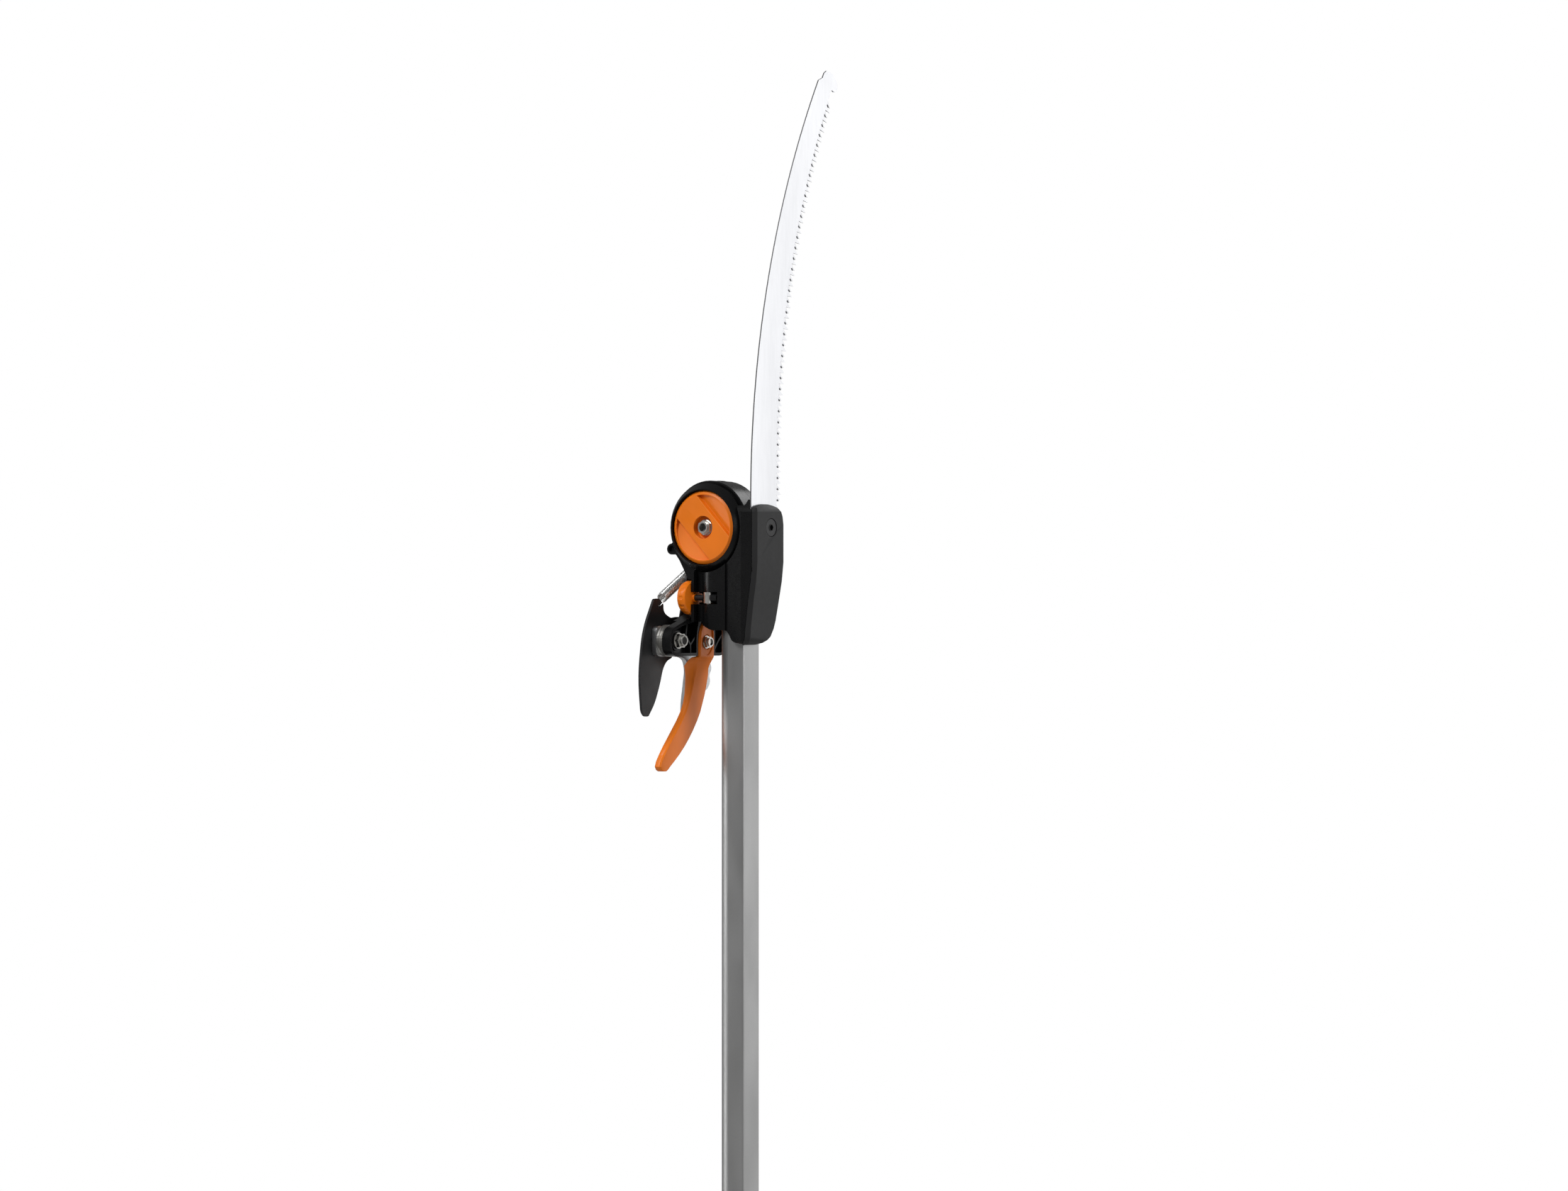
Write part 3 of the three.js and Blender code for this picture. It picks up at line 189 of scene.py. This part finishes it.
class Surface:
    """A Principled material and small helpers that add nodes to it."""

    def __init__(self, name, colour, roughness, metallic=0.0):
        self.material = bpy.data.materials.new(name)
        self.material.use_nodes = True
        self.tree = self.material.node_tree
        self.shader = self.tree.nodes["Principled BSDF"]
        self.shader.inputs["Base Color"].default_value = (*colour, 1)
        self.shader.inputs["Roughness"].default_value = roughness
        self.shader.inputs["Metallic"].default_value = metallic
        self.coordinates = self.tree.nodes.new("ShaderNodeTexCoord")
        self.last_normal = None

    def link(self, a, b):
        self.tree.links.new(a, b)

    def noise(self, scale, stretch=EVEN, detail=3.0, turn=UNTURNED):
        mapping = self.tree.nodes.new("ShaderNodeMapping")
        mapping.inputs["Scale"].default_value = stretch
        mapping.inputs["Rotation"].default_value = turn
        noise = self.tree.nodes.new("ShaderNodeTexNoise")
        noise.inputs["Scale"].default_value = scale
        noise.inputs["Detail"].default_value = detail
        self.link(self.coordinates.outputs["Object"], mapping.inputs["Vector"])
        self.link(mapping.outputs["Vector"], noise.inputs["Vector"])
        return noise.outputs["Fac"]

    def bump(self, height, strength, distance):
        bump = self.tree.nodes.new("ShaderNodeBump")
        bump.inputs["Strength"].default_value = strength
        bump.inputs["Distance"].default_value = distance
        self.link(height, bump.inputs["Height"])
        if self.last_normal:
            self.link(self.last_normal, bump.inputs["Normal"])
        self.last_normal = bump.outputs["Normal"]
        self.link(self.last_normal, self.shader.inputs["Normal"])
        return self

    def ramp(self, value, low, high, stops=(0.3, 0.7)):
        ramp = self.tree.nodes.new("ShaderNodeValToRGB")
        ramp.color_ramp.elements[0].position = stops[0]
        ramp.color_ramp.elements[1].position = stops[1]
        ramp.color_ramp.elements[0].color = (*low, 1)
        ramp.color_ramp.elements[1].color = (*high, 1)
        self.link(value, ramp.inputs["Fac"])
        return ramp.outputs["Color"]

    def colour(self, value, low, high, stops=(0.3, 0.7)):
        self.link(self.ramp(value, low, high, stops), self.shader.inputs["Base Color"])
        return self

    def roughness(self, value, low, high, stops=(0.3, 0.7)):
        grey = self.ramp(value, (low,) * 3, (high,) * 3, stops)
        self.link(grey, self.shader.inputs["Roughness"])
        return self


def shaded(colour, factor):
    return tuple(c * factor for c in colour)


def moulded(name, colour, roughness, grain, specular=0.34):
    """Injection-moulded plastic: a fine grain with slow changes of colour and gloss."""
    surface = Surface(name, colour, roughness)
    surface.shader.inputs["Specular IOR Level"].default_value = specular
    surface.colour(surface.noise(35), shaded(colour, 0.95), shaded(colour, 1.05))
    surface.roughness(surface.noise(300), roughness - 0.025, roughness + 0.025)
    surface.bump(surface.noise(2600, detail=2), grain, 0.06 * MM)
    surface.bump(surface.noise(110), 0.015, 0.2 * MM)
    return surface.material


def metal(name, colour, roughness, stretch=EVEN, scale=900, strength=0.2, turn=UNTURNED, contrast=0.12):
    """Bare metal with fine lines; stretch is small along the lines, or even for a plain grain."""
    surface = Surface(name, colour, roughness, 1.0)
    lines = surface.noise(scale, stretch, 4, turn)
    surface.colour(lines, shaded(colour, 1 - contrast), shaded(colour, 1 + contrast / 2))
    surface.roughness(surface.noise(40, stretch), roughness - 0.06, roughness + 0.08)
    surface.bump(lines, strength, 0.03 * MM)
    return surface.material


def blade_coat():
    """The cutting blade's black low-friction coat, a little uneven in its gloss."""
    coat = Surface("black_blade_coat", (0.012, 0.012, 0.013), 0.36, 0.3)
    coat.roughness(coat.noise(50), 0.3, 0.46)
    coat.bump(coat.noise(1800, detail=2), 0.2, 0.04 * MM)
    return coat.material


def weave():
    """Dark woven webbing, with its threads along the strap."""
    cloth = Surface("strap_weave", (0.03, 0.03, 0.034), 0.9)
    cloth.colour(cloth.noise(1400, (1, 1, 0.4)), (0.02, 0.02, 0.022), (0.06, 0.06, 0.066))
    cloth.bump(cloth.noise(1600, (1, 1, 0.5)), 0.6, 0.3 * MM)
    return cloth.material


BLACK = (0.0042, 0.0042, 0.0045)
ORANGE = (0.78, 0.175, 0.003)
RUBBER = (0.02, 0.02, 0.02)


def make_materials():
    looks = {
        "black": moulded("black_nylon", BLACK, roughness=0.28, grain=0.1, specular=0.2),
        "black_soft": moulded("black_matt_nylon", shaded(BLACK, 2), roughness=0.5, grain=0.2),
        "orange": moulded("orange_plastic", ORANGE, roughness=0.4, grain=0.1),
        "rubber": moulded("grip_rubber", RUBBER, roughness=0.8, grain=0.5),
        # painted shade: a dark copy of the saw's steel for the plate's edges and the teeth's flanks
        "saw_edge_painted_shade": metal("saw_steel_painted_shade", (0.13, 0.13, 0.135), roughness=0.5, stretch=(1, 1, 0.1)),
        "dark_steel": metal("oxidised_steel", (0.12, 0.12, 0.12), roughness=0.4, scale=1500, strength=0.3),
        "hook": metal("ground_hook_steel", (0.5, 0.51, 0.52), 0.33, stretch=(1, 0.08, 1), scale=700),
        "zinc": metal("zinc_plate", (0.62, 0.61, 0.58), roughness=0.34, scale=1500, strength=0.35),
        "spring": metal("spring_wire", (0.8, 0.8, 0.79), roughness=0.28, strength=0.1),
        "blade": blade_coat(),
        "strap": weave(),
    }
    drawn = {"stretch": (1, 1, 0.35), "scale": 1900, "strength": 0.1, "contrast": 0.035}
    looks["tube"] = metal("satin_aluminium", (0.4, 0.4, 0.4), roughness=0.42, **drawn)
    ground = {"stretch": (1, 1, 0.12), "scale": 420, "strength": 0.06, "turn": (0.7, 0, 0), "contrast": 0.03}
    looks["saw"] = metal("ground_saw_steel", (0.87, 0.877, 0.9), roughness=0.4, **ground)
    return looks


# ---------------------------------------------------------------- pieces

NODE_BODY = {node: body for body, nodes in frame["record"]["behaviour"]["bodies"].items() for node in nodes}

WELD = 0.002 * MM
FLAT_UNDER = math.radians(1.2)  # faces that meet at less than this are one face
BEVEL_OVER = math.radians(38)  # edges sharper than this are rounded
BEVEL_SEGMENTS = 3


def add_piece(name, mesh, material, nodes, follow=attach):
    """Adds a mesh that stands for CAD nodes, and rides and is finished as the first of them."""
    piece = bpy.data.objects.new(name, mesh)
    bpy.context.collection.objects.link(piece)
    mesh.materials.clear()
    mesh.materials.append(material)
    follow(piece, NODE_BODY[nodes[0]])
    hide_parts(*nodes)
    return piece


def smooth(mesh, degrees):
    mesh.polygons.foreach_set("use_smooth", [True] * len(mesh.polygons))
    mesh.set_sharp_from_angle(angle=math.radians(degrees))


def copied(node):
    """A copy of a CAD node's mesh, and its shape to work on, with corners welded and flat faces joined."""
    mesh = frame["nodes"][node].data.copy()
    work = bmesh.new()
    work.from_mesh(mesh)
    bmesh.ops.remove_doubles(work, verts=work.verts, dist=WELD)
    bmesh.ops.dissolve_limit(work, angle_limit=FLAT_UNDER, verts=work.verts, edges=work.edges)
    return mesh, work


def write_back(work, mesh):
    work.to_mesh(mesh)
    work.free()


def softened(node, material, width, smooth_angle):
    """A copy of a CAD node with rounded edges."""
    mesh, work = copied(node)
    write_back(work, mesh)
    smooth(mesh, smooth_angle)
    piece = add_piece(node + "_look", mesh, material, [node])
    bevel = piece.modifiers.new("edges", "BEVEL")
    bevel.width = width
    bevel.segments = BEVEL_SEGMENTS
    bevel.limit_method = "ANGLE"
    bevel.angle_limit = BEVEL_OVER
    bevel.harden_normals = True
    bevel.use_clamp_overlap = True


def keep(node, material):
    """Keeps a CAD node as it is, with a detailed material."""
    mesh = frame["nodes"][node]
    mesh.data.materials.clear()
    mesh.data.materials.append(material)


# ---------------------------------------------------------------- return spring

SPRING_COIL = 3.55 * MM  # radius to the middle of the wire
SPRING_WIRE = 0.42 * MM
WIRE_RESOLUTION = 2
SPRING_TURNS = 34
STEPS_PER_TURN = 14
SPRING_HOOK = 2.5 * MM  # radius of the hook round the post
SPRING_HOOK_DEGREES = range(200, -60, -20)
SPRING_X = -53.5 * MM
SPRING_SMOOTH_UNDER = 60  # degrees


def spring_place(y, z):
    """A place in the spring's plane from y and z in mm, with z from the tilt axis."""
    return Vector((SPRING_X, y * MM, TILT_Z + z * MM))


def wire_mesh(name, points, radius):
    """A round wire through points."""
    data = bpy.data.curves.new(name, "CURVE")
    data.dimensions = "3D"
    data.bevel_depth = radius
    data.bevel_resolution = WIRE_RESOLUTION
    data.use_fill_caps = True
    spline = data.splines.new("POLY")
    spline.points.add(len(points) - 1)
    for point, place in zip(spline.points, points):
        point.co = (*place, 1)
    shape = bpy.data.objects.new(name, data)
    bpy.context.collection.objects.link(shape)
    mesh = bpy.data.meshes.new_from_object(shape.evaluated_get(bpy.context.evaluated_depsgraph_get()))
    bpy.data.objects.remove(shape)
    mesh.name = name
    return mesh


def make_spring(material):
    """A close-wound coil from the blade's tab to the post on the arm, with a hook at each end."""
    low = spring_place(-23.2, -52.4)
    high = spring_place(10.6, -34)
    hole = spring_place(-27.1, -58.4)
    post = spring_place(15, -31.6)
    along = (high - low).normalized()
    across = Vector((1, 0, 0))
    up = along.cross(across)
    points = [hole + Vector((-1.9, 0.1, 0.1)) * MM, hole, hole + Vector((1.7, 0.3, 0.6)) * MM]
    points.append(low + (across * 1.9 + up * 2.4) * MM)
    steps = SPRING_TURNS * STEPS_PER_TURN
    for i in range(steps + 1):
        angle = 2 * math.pi * i / STEPS_PER_TURN
        ring = across * math.cos(angle) + up * math.sin(angle)
        points.append(low + (high - low) * (i / steps) + ring * SPRING_COIL)
    for degrees in SPRING_HOOK_DEGREES:
        angle = math.radians(degrees)
        points.append(post + (along * math.cos(angle) - up * math.sin(angle)) * SPRING_HOOK)
    mesh = wire_mesh("spring_coil", points, SPRING_WIRE)
    smooth(mesh, SPRING_SMOOTH_UNDER)

    def stretch(piece, body):
        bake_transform(piece)

    add_piece("spring_coil", mesh, material, ["return_spring"], stretch)


# ---------------------------------------------------------------- strap

STRAP_LONG_EDGE = 20 * MM
STRAP_CUTS = 24


def make_lower_strap(material):
    """The strap's run down to the blade, cut into short lengths; here it is set in place and does not follow
    the strap pin.
    """
    mesh, work = copied("strap_head_run")
    long_edges = [edge for edge in work.edges if edge.calc_length() > STRAP_LONG_EDGE]
    bmesh.ops.subdivide_edges(work, edges=long_edges, cuts=STRAP_CUTS, use_grid_fill=True)
    write_back(work, mesh)

    def follow_pin(piece, body):
        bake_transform(piece)

    add_piece("strap_lower_run", mesh, material, ["strap_head_run"], follow_pin)


# ---------------------------------------------------------------- saw blade

SAW_MIDDLE = 21.5 * MM
SAW_HALF = 0.55 * MM  # half the plate's thickness
# from here on the blade's own y and z are in mm, with z from the tilt axis
SPINE_ARC = (595.6, 20, 610)  # y and z of the centre, and the radius
GULLET_ARC = (622.1, 43, 604)
TOOTH_PITCH = 4.15
TOOTH_DEPTH = 5.8
TOOTH_ROOT = 0.4  # how far a tooth's foot lies inside the plate
TOOTH_SET = 0.5 * MM
TEETH_FROM = 20
TEETH_TO = 322
GULLET_OUT = 1.1  # the gullet's floor, outwards of the tooth's foot and below it
GULLET_DOWN = 0.5
TIP_LIFT = 0.15
BACK_HOLLOW = (-0.5, 0.3)  # in y and z, from the straight line between a tooth's tip and the next foot
TANG = [(-14, -28), (22, -28), (22, 8)]
NOSE = [(87.2, 323), (88.2, 327), (90.4, 328.2), (93, 326.9), (95.8, 327), (97.6, 329.2), (97.5, 332.6),
        (95.4, 336.6), (92, 340), (88, 341.9), (83.6, 342.5), (80.4, 340.6), (78.4, 337)]
PLAIN_EDGE_FROM = 17
SPINE_TOP = 335
SPINE_STEPS = 36
SHADE_PATCH = [(0.2, 0.1), (0.8, -0.5), (2.9, -0.7), (2.5, 0.4), (1.3, 1.0)]  # outwards and up from the foot; corners of a dark patch of painted shade
SHADE_PATCH_PROUD = 1.04  # share of the plate's thickness, a little more than 1 so that the painted shade patch shows
SAW_SMOOTH_UNDER = 25  # degrees
SIDE_FACING = 0.5  # faces that are turned further from sideways than this get the dark copy of the saw steel, painted shade


def arc_y(arc, z):
    """The arc's y at a height; below its centre it runs straight down."""
    y, centre_z, radius = arc
    return y - math.sqrt(radius**2 - max(z - centre_z, 0) ** 2)


def gullet_normal(z):
    """The direction out of the plate's toothed edge at a height."""
    lean = (z - GULLET_ARC[1]) / GULLET_ARC[2]
    return math.sqrt(1 - lean**2), -lean


def tooth_levels():
    """The heights of the gullets, one pitch apart along the arc."""
    levels = []
    z = TEETH_FROM
    while z < TEETH_TO:
        levels.append(z)
        z += TOOTH_PITCH * gullet_normal(z)[0]
    return levels


def plate_outline(levels):
    spine = [SPINE_TOP - (SPINE_TOP - SPINE_ARC[1]) * i / SPINE_STEPS for i in range(SPINE_STEPS + 1)]
    outline = TANG + [(arc_y(GULLET_ARC, TEETH_FROM), PLAIN_EDGE_FROM)]
    outline += [(arc_y(GULLET_ARC, z), z) for z in levels]
    return outline + NOSE + [(arc_y(SPINE_ARC, z), z) for z in spine]


def add_prism(work, outline, shifts):
    """A closed solid from (y, z, half thickness) corners, each shifted sideways."""
    rings = []
    for side in (1, -1):
        ring = []
        for (y, z, half), shift in zip(outline, shifts):
            ring.append(work.verts.new((SAW_MIDDLE + side * half + shift, y * MM, TILT_Z + z * MM)))
        rings.append(ring)
    front, back = rings
    work.faces.new(front)
    work.faces.new(back[::-1])
    count = len(front)
    for i in range(count):
        j = (i + 1) % count
        work.faces.new((front[j], front[i], back[i], back[j]))


def add_tooth(work, low, high, side):
    """One tooth between two gullets, thin at its tip and bent to a side."""
    out_y, out_z = gullet_normal(low)
    root_low = (arc_y(GULLET_ARC, low) - TOOTH_ROOT, low)
    root_high = (arc_y(GULLET_ARC, high) - TOOTH_ROOT, high)
    gullet = (root_low[0] + GULLET_OUT * out_y, low - GULLET_DOWN)
    tip = (root_low[0] + (TOOTH_DEPTH + TOOTH_ROOT) * out_y, low + TOOTH_DEPTH * out_z + TIP_LIFT)
    back = [(a + b) / 2 + hollow for a, b, hollow in zip(tip, root_high, BACK_HOLLOW)]
    # place, thickness and bend of each corner, as shares of the plate's thickness and of the set
    corners = [(root_low, 1, 0), (gullet, 1, 0.1), (tip, 0.25, 1), (back, 0.75, 0.55), (root_high, 1, 0)]
    outline = [(*place, SAW_HALF * thickness) for place, thickness, bend in corners]
    add_prism(work, outline, [side * bend for place, thickness, bend in corners])


def add_facet_shade_patch(work, low):
    """A dark patch of painted shade in the gullet under a tooth that is bent away, standing for the shaded
    ground facet there; returns its faces' numbers.
    """
    out_y, out_z = gullet_normal(low)
    root = arc_y(GULLET_ARC, low) - TOOTH_ROOT
    outline = [(root + a * out_y, low + b + a * out_z, SAW_HALF * SHADE_PATCH_PROUD) for a, b in SHADE_PATCH]
    first = len(work.faces)
    add_prism(work, outline, [0] * len(outline))
    return range(first, len(work.faces))


def make_saw(material, edge_shade_material):
    """The blade as a thin plate, and a row of teeth bent to alternate sides."""
    work = bmesh.new()
    levels = tooth_levels()
    plate = plate_outline(levels)
    add_prism(work, [(y, z, SAW_HALF) for y, z in plate], [0] * len(plate))
    shade_patch_faces = set()
    for i, (low, high) in enumerate(zip(levels, levels[1:])):
        bent_away = i % 2 == 0
        add_tooth(work, low, high, -TOOTH_SET if bent_away else TOOTH_SET)
        # a tooth bent away gets a dark patch of painted shade in its gullet
        if bent_away:
            shade_patch_faces.update(add_facet_shade_patch(work, low))
    bmesh.ops.recalc_face_normals(work, faces=work.faces)
    mesh = bpy.data.meshes.new("saw_teeth_and_plate")
    write_back(work, mesh)
    smooth(mesh, SAW_SMOOTH_UNDER)
    add_piece("saw_plate", mesh, material, ["saw_blade"])
    mesh.materials.append(edge_shade_material)
    # faces turned away from the sides take the dark steel of painted shade, though the same bright steel lies
    # there
    for face in mesh.polygons:
        if abs(face.normal.x) < SIDE_FACING or face.index in shade_patch_faces:
            face.material_index = 1


# ---------------------------------------------------------------- the whole tool

PLAN = {  # CAD nodes that get rounded edges, by look
    "black": ["swing_arm", "neck_housing", "saw_holder", "lock_collar"],
    "black_soft": ["saw_cover"],
    "orange": ["tilt_knob", "hook_cover", "clamp_knob", "handle_front", "handle_rear", "lock_lever"],
    "rubber": ["end_cap", "lower_grip", "handle_grip"],
    "hook": ["hook_plate"],
    "blade": ["cutting_blade"],
}
EDGE = {"saw_cover": 1.6 * MM, "saw_holder": 0.6 * MM, "tilt_knob": 0.6 * MM, "cutting_blade": 0.25 * MM}
USUAL_EDGE = 0.4 * MM
SMOOTH_UNDER = {"hook_cover": 48, "saw_cover": 34}  # degrees; edges sharper than this stay crisp
USUAL_SMOOTH_UNDER = 32
KEPT = {  # CAD nodes that are drawn as they are, by look
    "black": ["guide_bush", "handle_key", "tube_end_bush", "pulley_cover", "strap_pulley"],
    "blade": ["cover_screw", "swing_bolt", "swing_bolt_end"],
    "tube": ["lower_tube", "upper_tube"],
    "zinc": ["lock_pin", "lock_bolt", "handle_screw_1", "handle_screw_2", "tilt_bush", "tilt_nut",
             "strap_pin", "spacer_washer", "pivot_nut", "hook_bolt", "hook_nut", "clamp_pin"],
    "dark_steel": ["tilt_bolt", "pivot_bolt"],
    "strap": ["strap_pole_run", "strap_wrap"],
}

add_camera()
add_studio()
looks = make_materials()
for look, nodes in PLAN.items():
    for node in nodes:
        softened(node, looks[look], EDGE.get(node, USUAL_EDGE), SMOOTH_UNDER.get(node, USUAL_SMOOTH_UNDER))
for look, nodes in KEPT.items():
    for node in nodes:
        keep(node, looks[look])

make_spring(looks["spring"])
make_lower_strap(looks["strap"])
make_saw(looks["saw"], looks["saw_edge_painted_shade"])
